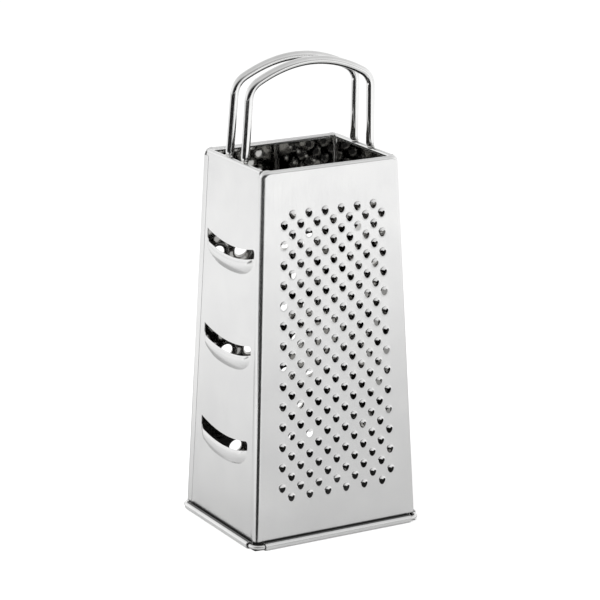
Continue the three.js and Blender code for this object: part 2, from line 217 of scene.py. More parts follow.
# Places worked out from the sizes above
NARROW_INSET = SHEET + LAP_GAP
BASE_WIRE_RADIUS = BASE_WIRE_DIAMETER / 2
FOOT_ROLL_RADIUS = BASE_WIRE_RADIUS + BASE_WIRE_GAP + SHEET
FOOT_ROLL_SETBACK = CORNER_RADIUS + FOOT_NOTCH_WIDTH
CORNER_FOOT = 2 * FOOT_ROLL_RADIUS + FOOT_NOTCH_GAP
CORNER_TOP = BODY_HEIGHT - RIM_NOTCH
RIM_ROLL_SETBACK = max(CORNER_RADIUS, NARROW_INSET + 2 * RIM_ROLL_RADIUS) + RIM_ROLL_END_GAP
SLOT_WIDTH = RIM_DEPTH - 2 * SLOT_SIDE_MARGIN


def mix(a, b, share):
    return a + (b - a) * share


def ease(low, high, value):
    """Rises smoothly from 0 at low to 1 at high."""
    share = min(max((value - low) / (high - low), 0), 1)
    return share * share * (3 - 2 * share)


def half_width(z):
    return mix(FOOT_WIDTH, RIM_WIDTH, z / BODY_HEIGHT) / 2


def half_depth(z):
    return mix(FOOT_DEPTH, RIM_DEPTH, z / BODY_HEIGHT) / 2


class Panel:
    """One side of the body: at each height its half width and how far its outer face lies from the axis."""

    def __init__(self, half, out, bent):
        self.half = half
        self.out = out
        self.bent = bent
        self.taper = math.atan((out(0) - out(BODY_HEIGHT)) / BODY_HEIGHT)
        self.rim_axis_z = BODY_HEIGHT - RIM_ROLL_RADIUS
        self.rim_axis_out = out(self.rim_axis_z) - RIM_ROLL_RADIUS / math.cos(self.taper)
        self.foot_axis_z = FOOT_ROLL_RADIUS
        self.foot_axis_out = out(self.foot_axis_z) - SHEET + FOOT_ROLL_RADIUS / math.cos(self.taper)


WIDE = Panel(half_width, half_depth, True)
NARROW = Panel(half_depth, lambda z: half_width(z) - NARROW_INSET, False)


def inside(point, loop):
    """Whether a flat point lies inside a closed loop of flat points."""
    x, y = point
    found = False
    for (ax, ay), (bx, by) in zip(loop, loop[1:] + loop[:1]):
        if (ay > y) != (by > y) and x < ax + (bx - ax) * (y - ay) / (by - ay):
            found = not found
    return found


class PressedSheet:
    """A net of points, each with a place on the outer and on the inner side of the sheet."""

    def __init__(self, panel):
        self.panel = panel
        self.outer = []
        self.inner = []
        self.faces = []
        self.turned_out = set()
        self.creviced = set()

    def point(self, outer, inner):
        self.outer.append(outer)
        self.inner.append(inner)
        return len(self.outer) - 1

    def face_point(self, s, z, rise=0.0, thickness=SHEET):
        out = self.panel.out(z) + rise
        return self.point((s, -out, z), (s, -(out - thickness), z))

    def strip(self, lower, upper):
        for i in range(len(lower) - 1):
            self.faces.append((lower[i], lower[i + 1], upper[i + 1], upper[i]))

    def turned_out_strip(self, lower, upper, creviced):
        """A strip of the foot roll, seen on its inner side. A creviced one lies close to the panel and takes
        the panel's painted crevice shade.
        """
        first = len(self.faces)
        self.strip(lower, upper)
        added = range(first, len(self.faces))
        self.turned_out.update(added)
        if creviced:
            self.creviced.update(added)

    def ring_strip(self, outside, within):
        self.strip(outside + outside[:1], within + within[:1])

    def fill(self, outline, holes):
        """Fills a flat outline that has holes in it. Outlines and holes are lists of point numbers."""
        loops = [outline] + holes
        numbers = [i for loop in loops for i in loop]
        owner = [k for k, loop in enumerate(loops) for _ in loop]
        flat = [Vector((self.outer[i][0], self.outer[i][2])) for i in numbers]
        edges = []
        for loop in loops:
            first = len(edges)
            edges += [(first + k, first + (k + 1) % len(loop)) for k in range(len(loop))]
        places, _, faces, origins, _, _ = delaunay_2d_cdt(flat, edges, [], 1, FILL_TOLERANCE)
        loop_places = [[(self.outer[i][0], self.outer[i][2]) for i in loop] for loop in loops]
        for face in faces:
            source = [origins[k][0] for k in face]
            owners = {owner[k] for k in source}
            if len(owners) == 1 and 0 not in owners:
                middle = sum((places[k] for k in face), Vector((0, 0))) / len(face)
                if inside(middle, loop_places[owners.pop()]):
                    continue
            self.faces.append(tuple(numbers[k] for k in source))

    def mesh(self, name, turn):
        """The closed sheet, turned about the body's axis: both sides, and a wall along every free edge."""
        count = len(self.outer)
        far = [i if self.inner[i] == self.outer[i] else i + count for i in range(count)]
        edges = set()
        for face in self.faces:
            edges.update(zip(face, face[1:] + face[:1]))
        outside = []
        within = []
        rolled = []
        # Slot 0 takes the outer faces and the creviced strips of the foot roll, which carry the painted
        # crevice shade
        for number, face in enumerate(self.faces):
            back = tuple(dict.fromkeys(far[i] for i in reversed(face)))
            if number not in self.turned_out:
                outside.append(face)
                within.append(back)
            elif number in self.creviced:
                outside.append(back)
                within.append(face)
            else:
                rolled.append(back)
                within.append(face)
        walls = []
        for face in self.faces:
            for a, b in zip(face, face[1:] + face[:1]):
                if (b, a) not in edges:
                    walls.append(tuple(dict.fromkeys((b, a, far[a], far[b]))))
        walls = [wall for wall in walls if len(wall) > 2]
        spin = Matrix.Rotation(turn, 4, "Z")
        places = [spin @ (Vector(p) * MM) for p in self.outer + self.inner]
        return make_piece(name, places, outside, within, walls, rolled)


def make_piece(name, places, *groups):
    """A smooth shaded object from groups of faces. Each group takes the material slot of its own number."""
    faces = [face for group in groups for face in group]
    used = sorted({i for face in faces for i in face})
    renumber = {old: new for new, old in enumerate(used)}
    mesh = bpy.data.meshes.new(name)
    mesh.from_pydata([places[i] for i in used], [], [[renumber[i] for i in face] for face in faces])
    mesh.validate()
    mesh.update()
    mesh.polygons.foreach_set("use_smooth", [True] * len(mesh.polygons))
    mesh.set_sharp_from_angle(angle=SHARP_ANGLE)
    mesh.polygons.foreach_set("material_index", [slot for slot, group in enumerate(groups) for _ in group])
    piece = bpy.data.objects.new(name, mesh)
    bpy.context.scene.collection.objects.link(piece)
    return piece


# Panels
def rim_row(sheet, end, angle):
    panel = sheet.panel

    def place(s, radius):
        out = panel.rim_axis_out + radius * math.cos(angle)
        return (s, -out, panel.rim_axis_z + radius * math.sin(angle))

    return [sheet.point(place(s, RIM_ROLL_RADIUS), place(s, RIM_ROLL_RADIUS - SHEET)) for s in (-end, end)]


def foot_row(sheet, end, angle):
    panel = sheet.panel

    def place(s, radius):
        out = panel.foot_axis_out - radius * math.cos(angle)
        return (s, -out, panel.foot_axis_z - radius * math.sin(angle))

    return [sheet.point(place(s, FOOT_ROLL_RADIUS - SHEET), place(s, FOOT_ROLL_RADIUS)) for s in (-end, end)]


def bend_column(sheet, side, angle, past):
    def place(z, radius):
        s = sheet.panel.half(z) - CORNER_RADIUS + radius * math.sin(angle)
        out = sheet.panel.out(z) - CORNER_RADIUS + radius * math.cos(angle) - past
        return (side * s, -out, z)

    def column_point(z):
        thickness = LAP_EDGE if past else SHEET
        return sheet.point(place(z, CORNER_RADIUS - SHEET + thickness), place(z, CORNER_RADIUS - SHEET))

    return [column_point(CORNER_FOOT), column_point(CORNER_TOP)]


def join_columns(sheet, side, columns):
    """Joins columns that follow each other outwards from the middle of the panel, on one of its sides."""
    for last, column in zip(columns, columns[1:]):
        if side > 0:
            sheet.strip(column, last)
        else:
            sheet.strip(last, column)


def add_bend(sheet, side, edge):
    """Bends the sheet round a corner from an edge of its face and adds the flange that laps the next panel.

    Returns the upper ends of the columns of the bend.
    """
    columns = [edge]
    for i in range(ROLL_STEPS + 1):
        columns.append(bend_column(sheet, side, math.pi / 2 * i / ROLL_STEPS, 0))
    lap = bend_column(sheet, side, math.pi / 2, LAP_WIDTH)
    join_columns(sheet, side, columns + [lap])
    return [column[1] for column in columns]


def rim_corner_column(sheet, side, rim_end, size, turn, edge):
    """One section of the rounded top corner, at a turn from straight up (0) to straight sideways.

    The size gives the half axes of the curve along which the flat face ends. The edge is the point of the
    face that the section starts from.
    """
    panel = sheet.panel
    sideways = math.sin(turn)
    s = rim_end + size[0] * sideways
    z = CORNER_TOP + size[1] * math.cos(turn)
    heading = Vector((size[1] * sideways, size[0] * math.cos(turn))).normalized()
    radius = mix(RIM_ROLL_RADIUS, CORNER_RADIUS, sideways)
    full = mix(RIM_ROLL_TURN, math.pi / 2, sideways)

    def place(angle, reach):
        ahead = reach * math.sin(angle)
        out = panel.out(z) - radius + reach * math.cos(angle)
        return (side * (s + heading.x * ahead), -out, z + heading.y * ahead)

    column = [edge]
    for i in range(ROLL_STEPS + 1):
        angle = full * i / ROLL_STEPS
        column.append(sheet.point(place(angle, radius), place(angle, radius - SHEET)))
    return column


def add_face(sheet, holes):
    """The flat face with the holes given, its two rolls and its bent side edges."""
    panel = sheet.panel
    foot_start = panel.foot_axis_z - FOOT_ROLL_RADIUS * math.sin(panel.taper)
    rim_start = panel.rim_axis_z + RIM_ROLL_RADIUS * math.sin(panel.taper)
    foot_end = panel.half(foot_start) - FOOT_ROLL_SETBACK
    rim_end = panel.half(rim_start) - (CORNER_RADIUS + RIM_CORNER_ROUND if panel.bent else RIM_ROLL_SETBACK)
    margin = FLAT_MARGIN if panel.bent else 0
    round_size = (panel.half(CORNER_TOP) - CORNER_RADIUS - rim_end, rim_start - CORNER_TOP)
    turns = [math.pi / 2 * k / RIM_CORNER_STEPS for k in range(1, RIM_CORNER_STEPS)] if panel.bent else []

    def side_edge(side):
        points = []
        for z in (CORNER_FOOT, CORNER_TOP):
            points.append(sheet.face_point(side * (panel.half(z) - CORNER_RADIUS - margin), z))
        return points

    def flat_row(end, z):
        return [sheet.face_point(s, z) for s in (-end, end)]

    def round_edge(side):
        edge = []
        for turn in turns:
            s = rim_end + (round_size[0] - margin) * math.sin(turn)
            z = CORNER_TOP + (round_size[1] - margin) * math.cos(turn)
            edge.append(sheet.face_point(side * s, z))
        return edge

    left = side_edge(-1)
    right = side_edge(1)
    left_round = round_edge(-1)
    right_round = round_edge(1)
    notch = flat_row(foot_end, CORNER_FOOT)
    foot = flat_row(foot_end, foot_start + FLAT_MARGIN)
    rim = flat_row(rim_end, rim_start - FLAT_MARGIN)
    outline = [left[0], notch[0], foot[0], foot[1], notch[1], right[0], right[1], *reversed(right_round)]
    outline += [rim[1], rim[0], *left_round, left[1]]
    sheet.fill(outline, holes)

    rim_rows = [rim]
    for i in range(ROLL_STEPS + 1):
        rim_rows.append(rim_row(sheet, rim_end, mix(panel.taper, RIM_ROLL_TURN, i / ROLL_STEPS)))
        sheet.strip(rim_rows[-2], rim_rows[-1])
    row = foot
    for i in range(FOOT_ROLL_STEPS + 1):
        angle = mix(panel.taper, FOOT_ROLL_TURN, i / FOOT_ROLL_STEPS)
        following = foot_row(sheet, foot_end, angle)
        sheet.turned_out_strip(following, row, angle > FOOT_CREVICE_TURN)
        row = following
    if panel.bent:
        for side, edge, rounded in ((-1, left, left_round), (1, right, right_round)):
            columns = [[row[(1 + side) // 2] for row in rim_rows]]
            for turn, point in zip(turns, rounded):
                columns.append(rim_corner_column(sheet, side, rim_end, round_size, turn, point))
            columns.append(add_bend(sheet, side, edge))
            join_columns(sheet, side, columns)


def staggered_centres(panel, pattern):
    """The centres of a staggered pattern, which fans out as the panel widens towards its foot."""
    long_row = int(2 * (panel.half(BODY_HEIGHT) - pattern["side"]) / pattern["pitch"]) + 1
    centres = []
    for row in range(pattern["rows"]):
        z = BODY_HEIGHT - pattern["top"] - row * pattern["row_step"] - row ** 2 * pattern["row_growth"]
        columns = long_row - 1 if row % 2 == 0 else long_row
        fan = panel.half(z) / panel.half(BODY_HEIGHT)
        for column in range(columns):
            place = (column - (columns - 1) / 2) * pattern["pitch"] + pattern["shift"]
            centres.append((place * fan, z))
    return centres


def add_crater(sheet, centre, sides, profile):
    """Presses one crater out of the face and returns the outline that it leaves there.

    The profile gives the radius, the rise and the thickness at each ring and angle.
    """
    angles = [math.pi / 2 + 2 * math.pi * i / sides for i in range(sides)]
    rings = []
    for ring in profile:
        points = []
        for angle in angles:
            radius, rise, thickness = ring(angle)
            s = centre[0] + radius * math.cos(angle)
            z = centre[1] + radius * math.sin(angle)
            points.append(sheet.face_point(s, z, rise, thickness))
        rings.append(points)
    for outside, within in zip(rings, rings[1:]):
        sheet.ring_strip(outside, within)
    return rings[0]


def plain_ring(radius, rise, thickness=SHEET):
    return lambda angle: (radius, rise, thickness)


def toothed_ring(radius, rise, teeth, narrowing, growth):
    """A sharp torn rim. Each tooth leans in by a share of the radius and stands up by a share of the rise."""

    def ring(angle):
        tooth = math.cos(teeth * (angle - math.pi / 2))
        return radius * (1 - narrowing * tooth), rise * (1 + growth * tooth), 0.0

    return ring


def heart_ring(radius, tooth_rise, side_rise, lobes=0.0, notch=0.0, thickness=SHEET):
    """A ring of a torn hole with two upper lobes, a lower point and an upper tooth.

    The tooth leans in by the notch and stands prouder than the sides of the hole.
    """

    def ring(angle):
        turn = angle - math.pi / 2
        top = max(0.0, math.cos(turn))
        reach = 1 - lobes * math.cos(HEART_WAVES * turn) - notch * top ** TOOTH_SHARPNESS
        return radius * reach, mix(side_rise, tooth_rise, top ** TOOTH_RISE_SHARPNESS), thickness

    return ring


def hooded_ring(radius, low_rise, high_rise, thickness=SHEET, sink=0.0):
    """A ring whose lower side stands prouder than its upper side and hangs lower by the sink."""

    def ring(angle):
        up = (1 + math.sin(angle)) / 2
        return radius + sink * (1 - up) ** 2, mix(low_rise, high_rise, up), thickness

    return ring


# Profiles of the craters, ring by ring from the face to the rim of the hole
FINE_CRATER = [
    heart_ring(2.9, 0.0, 0.0),
    heart_ring(2.75, 0.008, 0.0),
    heart_ring(2.45, 0.03, 0.01),
    heart_ring(2.3, 0.055, 0.025),
    heart_ring(2.12, 0.13, 0.05, 0.0, 0.02),
    heart_ring(1.98, 0.3, 0.09, 0.03, 0.12, 0.4),
    heart_ring(1.84, 0.5, 0.13, 0.05, 0.28, 0.2),
    heart_ring(1.72, 0.68, 0.17, 0.07, 0.45, 0.0),
]
FINE_SIDES = 24

COARSE_CRATER = [
    hooded_ring(5.25, 0.0, 0.0, sink=0.9),
    hooded_ring(5.1, 0.0, 0.0, sink=0.9),
    hooded_ring(4.8, 0.06, 0.02, sink=0.8),
    hooded_ring(4.4, 0.5, 0.1, sink=0.6),
    hooded_ring(3.95, 1.25, 0.22, sink=0.35),
    hooded_ring(3.6, 1.95, 0.34, 0.4, sink=0.15),
    hooded_ring(3.3, 2.4, 0.4, 0.12),
]
COARSE_SIDES = 32

POINT_CRATER = [
    plain_ring(2.25, 0.0),
    plain_ring(2.1, 0.0),
    plain_ring(1.9, 0.05),
    plain_ring(1.5, 0.35),
    plain_ring(1.1, 0.85, 0.4),
    toothed_ring(0.75, 1.25, 4, 0.25, 0.2),
]
POINT_SIDES = 16


def perforated_panel(name, panel, turn, pattern, crater, sides):
    sheet = PressedSheet(panel)
    holes = [add_crater(sheet, centre, sides, crater) for centre in staggered_centres(panel, pattern)]
    add_face(sheet, holes)
    return sheet.mesh(name, turn)


def widened(loop, distance):
    """The places of a flat loop that runs against the clock, moved outwards by a distance."""
    places = []
    for before, here, after in zip(loop[-1:] + loop[:-1], loop, loop[1:] + loop[:1]):
        normals = []
        for start, end in ((before, here), (here, after)):
            way = Vector((end[0] - start[0], end[1] - start[1])).normalized()
            normals.append(Vector((way.y, -way.x)))
        middle = (normals[0] + normals[1]).normalized()
        reach = distance / max(MITRE_LIMIT, middle.dot(normals[0]))
        places.append((here[0] + middle.x * reach, here[1] + middle.y * reach))
    return places


def add_slot(sheet, z):
    """Presses one slot, its top corners at the height z, and returns the outline it leaves in the face."""
    half = SLOT_WIDTH / 2
    shares = [-math.cos(i / SLOT_STEPS * math.pi) for i in range(1, SLOT_STEPS)]

    def edge_height(share):
        return z - SLOT_SAG * (1 - share ** 2)

    def lip_row(down):
        from_crest = (down - SLOT_LIP_CREST) / (1 - SLOT_LIP_CREST)
        curve = SLOT_LIP_CURVE_BELOW_CREST if from_crest > 0 else SLOT_LIP_CURVE_ABOVE_CREST
        crease = ease(0, SLOT_CREASE, 1 - down) ** SLOT_CREASE_CURVE
        rise = SLOT_BLADE_RISE * (1 - from_crest ** curve) * crease
        thickness = mix(SLOT_BLADE_EDGE, SHEET, min(1, SLOT_BLADE_THICKENING * down))
        points = []
        for u in shares:
            fall = SLOT_LIP_HEIGHT * down * math.sqrt(1 - abs(u) ** SLOT_LIP_BLUNTNESS)
            height = edge_height(u) - SLOT_GAP - fall
            local_rise = rise * ease(0, SLOT_END_SPREAD, half * (1 - abs(u)))
            points.append(sheet.face_point(SLOT_SHIFT + u * half, height, local_rise, thickness))
        return points

    tip = sheet.face_point(SLOT_SHIFT - half, z)
    ends = [sheet.face_point(SLOT_SHIFT + side * half, z - SLOT_GAP) for side in (-1, 1)]
    upper = []
    for u in shares:
        if u * half < half - SLOT_CORNER_ROUND:
            upper.append(sheet.face_point(SLOT_SHIFT + u * half, edge_height(u)))
    corner_s = half - SLOT_CORNER_ROUND
    corner_z = edge_height(corner_s / half) - SLOT_CORNER_ROUND
    for i in range(SLOT_CORNER_STEPS + 1):
        angle = math.pi / 2 * (1 - i / SLOT_CORNER_STEPS)
        s = corner_s + SLOT_CORNER_ROUND * math.cos(angle)
        upper.append(sheet.face_point(SLOT_SHIFT + s, corner_z + SLOT_CORNER_ROUND * math.sin(angle)))
    lip = [lip_row(i / SLOT_LIP_ROWS) for i in range(SLOT_LIP_ROWS + 1)]
    for blade, below in zip(lip, lip[1:]):
        sheet.strip(below, blade)
        sheet.faces.append((ends[0], below[0], blade[0]))
        sheet.faces.append((ends[1], blade[-1], below[-1]))
    outline = [tip, ends[0], *lip[-1], ends[1], *reversed(upper)]
    flat = [(sheet.outer[i][0], sheet.outer[i][2]) for i in outline]
    border = [sheet.face_point(s, height) for s, height in widened(flat, SLOT_MARGIN)]
    sheet.ring_strip(border, outline)
    return border


def slotted_panel(name, panel, turn):
    sheet = PressedSheet(panel)
    first = BODY_HEIGHT - SLOT_TOP_MARGIN
    add_face(sheet, [add_slot(sheet, first - i * SLOT_STEP) for i in range(SLOT_COUNT)])
    return sheet.mesh(name, turn)


# Wires
def wire_along(name, points, plane_normal, radius, round_ends):
    """A round wire along points in one plane, with flat or round ends."""
    last = len(points) - 1
    tangents = []
    for i, point in enumerate(points):
        back = (point - points[max(i - 1, 0)]).normalized()
        ahead = (points[min(i + 1, last)] - point).normalized()
        tangents.append((back + ahead).normalized())
    rings = [(points[i], tangents[i], radius) for i in range(last + 1)]
    tips = [points[0], points[last]]
    if round_ends:
        caps = [[], []]
        for step in range(1, ROUND_END_STEPS):
            angle = math.pi / 2 * step / ROUND_END_STEPS
            for cap, i, way in ((caps[0], 0, -1), (caps[1], last, 1)):
                centre = points[i] + tangents[i] * (way * radius * math.sin(angle))
                cap.append((centre, tangents[i], radius * math.cos(angle)))
        rings = caps[0][::-1] + rings + caps[1]
        tips = [points[0] - tangents[0] * radius, points[last] + tangents[last] * radius]
    places = []
    for centre, tangent, reach in rings:
        across = plane_normal.cross(tangent).normalized()
        for i in range(WIRE_SIDES):
            angle = 2 * math.pi * i / WIRE_SIDES
            offset = across * math.cos(angle) + plane_normal * math.sin(angle)
            places.append((centre + offset * reach) * MM)
    first_tip = len(places)
    places += [tip * MM for tip in tips]
    faces = []
    for i in range(WIRE_SIDES):
        j = (i + 1) % WIRE_SIDES
        faces.append((first_tip, j, i))
        start = (len(rings) - 1) * WIRE_SIDES
        faces.append((first_tip + 1, start + i, start + j))
        for ring in range(len(rings) - 1):
            a = ring * WIRE_SIDES
            b = a + WIRE_SIDES
            faces.append((a + i, a + j, b + j, b + i))
    return make_piece(name, places, faces)


def base_wire(name):
    half_x = NARROW.foot_axis_out
    half_y = WIDE.foot_axis_out
    bend = FOOT_ROLL_SETBACK
    points = [Vector((-BASE_WIRE_BUTT_GAP / 2, half_y, FOOT_ROLL_RADIUS))]
    for corner, (side_x, side_y) in enumerate(((-1, 1), (-1, -1), (1, -1), (1, 1))):
        for i in range(BASE_WIRE_BEND_STEPS + 1):
            angle = math.pi / 2 * (corner + 1 + i / BASE_WIRE_BEND_STEPS)
            x = side_x * (half_x - bend) + bend * math.cos(angle)
            y = side_y * (half_y - bend) + bend * math.sin(angle)
            points.append(Vector((x, y, FOOT_ROLL_RADIUS)))
    points.append(Vector((BASE_WIRE_BUTT_GAP / 2, half_y, FOOT_ROLL_RADIUS)))
    return wire_along(name, points, Vector((0, 0, 1)), BASE_WIRE_RADIUS, False)


def bent_between(start, corner, end, steps):
    """Points of a smooth bend from start to end, with its corner given."""
    points = []
    for i in range(steps + 1):
        t = i / steps
        points.append(start * (1 - t) ** 2 + corner * (2 * t * (1 - t)) + end * t ** 2)
    return points


HANDLE_RADIUS = HANDLE_WIRE_DIAMETER / 2
HANDLE_SEAT_REACH = RIM_ROLL_RADIUS + HANDLE_WELD_GAP + HANDLE_RADIUS
HANDLE_END_X = NARROW.rim_axis_out - HANDLE_SEAT_REACH * math.cos(HANDLE_SEAT_ANGLE)
HANDLE_END_Z = NARROW.rim_axis_z + HANDLE_SEAT_REACH * math.sin(HANDLE_SEAT_ANGLE)
HANDLE_RIM_Y = HANDLE_GAP_AT_RIM / 2 + HANDLE_RADIUS


def handle_wire(name, side):
    """The handle wire on the front side (-1) or the rear side (1) of the rim, leaning to the other one."""
    crest_z = BODY_HEIGHT + HANDLE_RISE - HANDLE_RADIUS
    shoulder_z = crest_z - HANDLE_SHOULDER_DROP
    share = HANDLE_SHOULDER_SHARE
    arch_z = (2 * crest_z - shoulder_z * (1 - share)) / (1 + share)
    end = Vector((HANDLE_END_X, HANDLE_END_Z))
    shoulder = Vector((HANDLE_END_X - HANDLE_LEG_LEAN, shoulder_z))
    arch = Vector((0, arch_z))
    arch_start = shoulder.lerp(arch, share)
    leg_share = (arch_start - shoulder).length / (end - shoulder).length
    leg_end = shoulder.lerp(end, leg_share)

    def other_side(point):
        return Vector((-point.x, point.y))

    right = [end, end.lerp(leg_end, HANDLE_LEG_END_SHARE), end.lerp(leg_end, 1 - HANDLE_LEG_END_SHARE)]
    right += bent_between(leg_end, shoulder, arch_start, HANDLE_BEND_STEPS)
    top = bent_between(arch_start, arch, other_side(arch_start), HANDLE_ARCH_STEPS)[1:-1]
    outline = right + top + [other_side(point) for point in reversed(right)]

    crest_y = HANDLE_GAP_AT_TOP / 2 + HANDLE_RADIUS
    rise_to_crest = crest_z - HANDLE_END_Z
    lean_x = HANDLE_SIDE_LEAN / rise_to_crest
    lean_y = side * (crest_y - HANDLE_RIM_Y) / rise_to_crest
    points = []
    for x, z in outline:
        rise = z - HANDLE_END_Z
        points.append(Vector((x + lean_x * rise, side * HANDLE_RIM_Y + lean_y * rise, z)))
    plane_normal = Vector((0, -1, lean_y)).normalized()
    return wire_along(name, points, plane_normal, HANDLE_RADIUS, True)


def weld_bead(name, side_x, side_y, dice):
    """A small melted bead that joins the end of a handle wire to the rim roll."""
    out = Vector((-side_x * math.cos(HANDLE_SEAT_ANGLE), 0, math.sin(HANDLE_SEAT_ANGLE)))
    along = Vector((0, 1, 0))
    around = out.cross(along)
    axis = Vector((side_x * NARROW.rim_axis_out, side_y * HANDLE_RIM_Y, NARROW.rim_axis_z))
    centre = axis + out * (RIM_ROLL_RADIUS + HANDLE_WELD_GAP / 2)
    waves = []
    for _ in range(WELD_WAVES):
        turns = round(dice.uniform(*WELD_WAVE_TURNS))
        waves.append((turns, dice.uniform(0, 2 * math.pi), dice.uniform(*WELD_WAVE_SIZES)))
    places = []
    for ring in range(1, WELD_RINGS):
        polar = math.pi * ring / WELD_RINGS
        for i in range(WELD_SIDES):
            angle = 2 * math.pi * i / WELD_SIDES
            ripple = sum(size * math.sin(turns * angle + start) for turns, start, size in waves)
            swell = 1 + ripple * math.sin(polar)
            place = along * (WELD_SIZE[0] * math.cos(angle) * math.sin(polar))
            place += around * (WELD_SIZE[1] * math.sin(angle) * math.sin(polar))
            place = place * swell + out * (WELD_SIZE[2] * math.cos(polar))
            places.append((centre + place) * MM)
    top = len(places)
    places += [(centre + out * WELD_SIZE[2]) * MM, (centre - out * WELD_SIZE[2]) * MM]
    faces = []
    for i in range(WELD_SIDES):
        j = (i + 1) % WELD_SIDES
        end = (WELD_RINGS - 2) * WELD_SIDES
        faces.append((top, i, j))
        faces.append((top + 1, end + j, end + i))
        for ring in range(WELD_RINGS - 2):
            a = ring * WELD_SIDES
            b = a + WELD_SIDES
            faces.append((a + i, b + i, b + j, a + j))
    return make_piece(name, places, faces)


# Materials
def grey(level):
    return (level, level, level)


class Shading:
    """Short ways to add nodes to a material or to the world."""

    def __init__(self, owner):
        owner.use_nodes = True
        self.nodes = owner.node_tree.nodes
        self.links = owner.node_tree.links

    def fill(self, node, inputs):
        """Gives each input of a node a plain value or the output of another node."""
        for name, value in inputs.items():
            if isinstance(value, bpy.types.NodeSocket):
                self.links.new(value, node.inputs[name])
            else:
                node.inputs[name].default_value = value

    def add(self, kind, inputs, **settings):
        node = self.nodes.new("ShaderNode" + kind)
        for name, value in settings.items():
            setattr(node, name, value)
        self.fill(node, inputs)
        return node.outputs

    def maths(self, operation, *values):
        return self.add("Math", dict(enumerate(values)), operation=operation)["Value"]

    def vector_maths(self, operation, *values):
        return self.add("VectorMath", dict(enumerate(values)), operation=operation)["Value"]

    def span(self, value, start, end, low=0.0, high=1.0, shape="LINEAR"):
        """Maps values between start and end to values between low and high."""
        inputs = {"Value": value, "From Min": start, "From Max": end, "To Min": low, "To Max": high}
        return self.add("MapRange", inputs, interpolation_type=shape)["Result"]

    def ramp(self, value, stops):
        """Turns a value from 0 to 1 into a colour, by stops of a place and a colour each."""
        node = self.nodes.new("ShaderNodeValToRGB")
        self.fill(node, {"Fac": value})
        elements = node.color_ramp.elements
        while len(elements) < len(stops):
            elements.new(0.5)
        for element, (place, colour) in zip(elements, stops):
            element.position = place
            element.color = (*colour, 1)
        return node.outputs["Color"]

    def blend(self, factor, first, second, kind="MIX"):
        inputs = {"Factor": factor, "A": first, "B": second}
        return self.add("Mix", inputs, data_type="RGBA", blend_type=kind)["Result"]

    def parts(self, vector):
        return self.add("SeparateXYZ", {"Vector": vector})

    def noise(self, scale, detail):
        """Noise in the frame of the object, stretched by a scale for each axis."""
        place = self.add("TexCoord", {})["Object"]
        stretched = self.add("Mapping", {"Vector": place, "Scale": scale})["Vector"]
        return self.add("TexNoise", {"Vector": stretched, "Scale": 1.0, "Detail": detail})["Fac"]

    def ray_kinds(self):
        """Whether a ray comes straight from the camera, and whether it comes by way of the metal."""
        path = self.add("LightPath", {})
        from_metal = self.maths("MAXIMUM", path["Is Glossy Ray"], path["Is Transmission Ray"])
        return path["Is Camera Ray"], from_metal


def new_material(name):
    material = bpy.data.materials.new(name)
    shading = Shading(material)
    return material, shading, shading.nodes["Principled BSDF"]


def painted_crevice_shade(shading):
    """A factor for the colour that paints shade into the crevice between the foot roll and the panel above
    it.
    """
    height = shading.parts(shading.add("TexCoord", {})["Object"])["Z"]
    share = shading.span(height, 0.0, CREVICE_SHADE_SPAN * MM)
    return shading.ramp(share, [(place / CREVICE_SHADE_SPAN, grey(level)) for place, level in CREVICE_SHADE])


def metal(name, dark, light, roughness, grain, cloud, relief, crevice_shade=False):
    """Bare metal with clouds in its colour and grain in its roughness and relief.

    The relief gives the strength and the depth of the grain. The crevice shade adds the painted shade of the
    foot's crevice.
    """
    material, shading, shader = new_material(name)
    clouds = shading.noise((cloud, cloud, cloud), CLOUD_DETAIL)
    lines = shading.noise(grain, GRAIN_DETAIL)
    colour = shading.ramp(clouds, ((NOISE_LOW, dark), (NOISE_HIGH, light)))
    if crevice_shade:
        colour = shading.blend(1.0, colour, painted_crevice_shade(shading), "MULTIPLY")
    strength, depth = relief
    shading.fill(shader, {
        "Metallic": 1.0,
        "Base Color": colour,
        "Roughness": shading.span(lines, NOISE_LOW, NOISE_HIGH, *roughness),
        "Normal": shading.add("Bump", {"Height": lines, "Strength": strength, "Distance": depth})["Normal"],
    })
    return material


SATIN = dict(
    dark=(0.85, 0.85, 0.85), light=(0.9, 0.9, 0.895), roughness=(0.19, 0.24),
    grain=(3200, 3200, 45), cloud=55, relief=(0.04, 0.00003),
)
# The panel steel carries painted shade in the crevice above the foot roll; the roll steel is the same metal
# without it
panel_steel_painted_shade = metal("panel_steel_painted_shade", crevice_shade=True, **SATIN)
roll_steel = metal("roll_steel", **SATIN)
# The inner side of the sheets: the same steel painted darker, as painted shade inside the body and its rolls
inner_steel_painted_shade = metal(
    "inner_steel_painted_shade", dark=(0.5, 0.495, 0.48), light=(0.58, 0.575, 0.56), roughness=(0.02, 0.05),
    grain=(2600, 2600, 30), cloud=70, relief=(0.02, 0.00002),
)
cut_edge = metal(
    "cut_edge", dark=(0.72, 0.72, 0.72), light=(0.86, 0.86, 0.86), roughness=(0.3, 0.45),
    grain=(2500, 2500, 2500), cloud=400, relief=(0.2, 0.00005),
)
bright_wire = metal(
    "bright_wire", dark=(0.82, 0.82, 0.815), light=(0.9, 0.9, 0.895), roughness=(0.06, 0.13),
    grain=(900, 2500, 900), cloud=120, relief=(0.05, 0.00003),
)
weld_metal = metal(
    "weld_metal", dark=(0.62, 0.61, 0.59), light=(0.85, 0.85, 0.84), roughness=WELD_ROUGHNESS,
    grain=(1500, 1500, 1500), cloud=700, relief=(0.3, 0.0001),
)


def finish_piece(piece, slot, *materials):
    for material in materials:
        piece.data.materials.append(material)
    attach(piece, "root")
    return piece


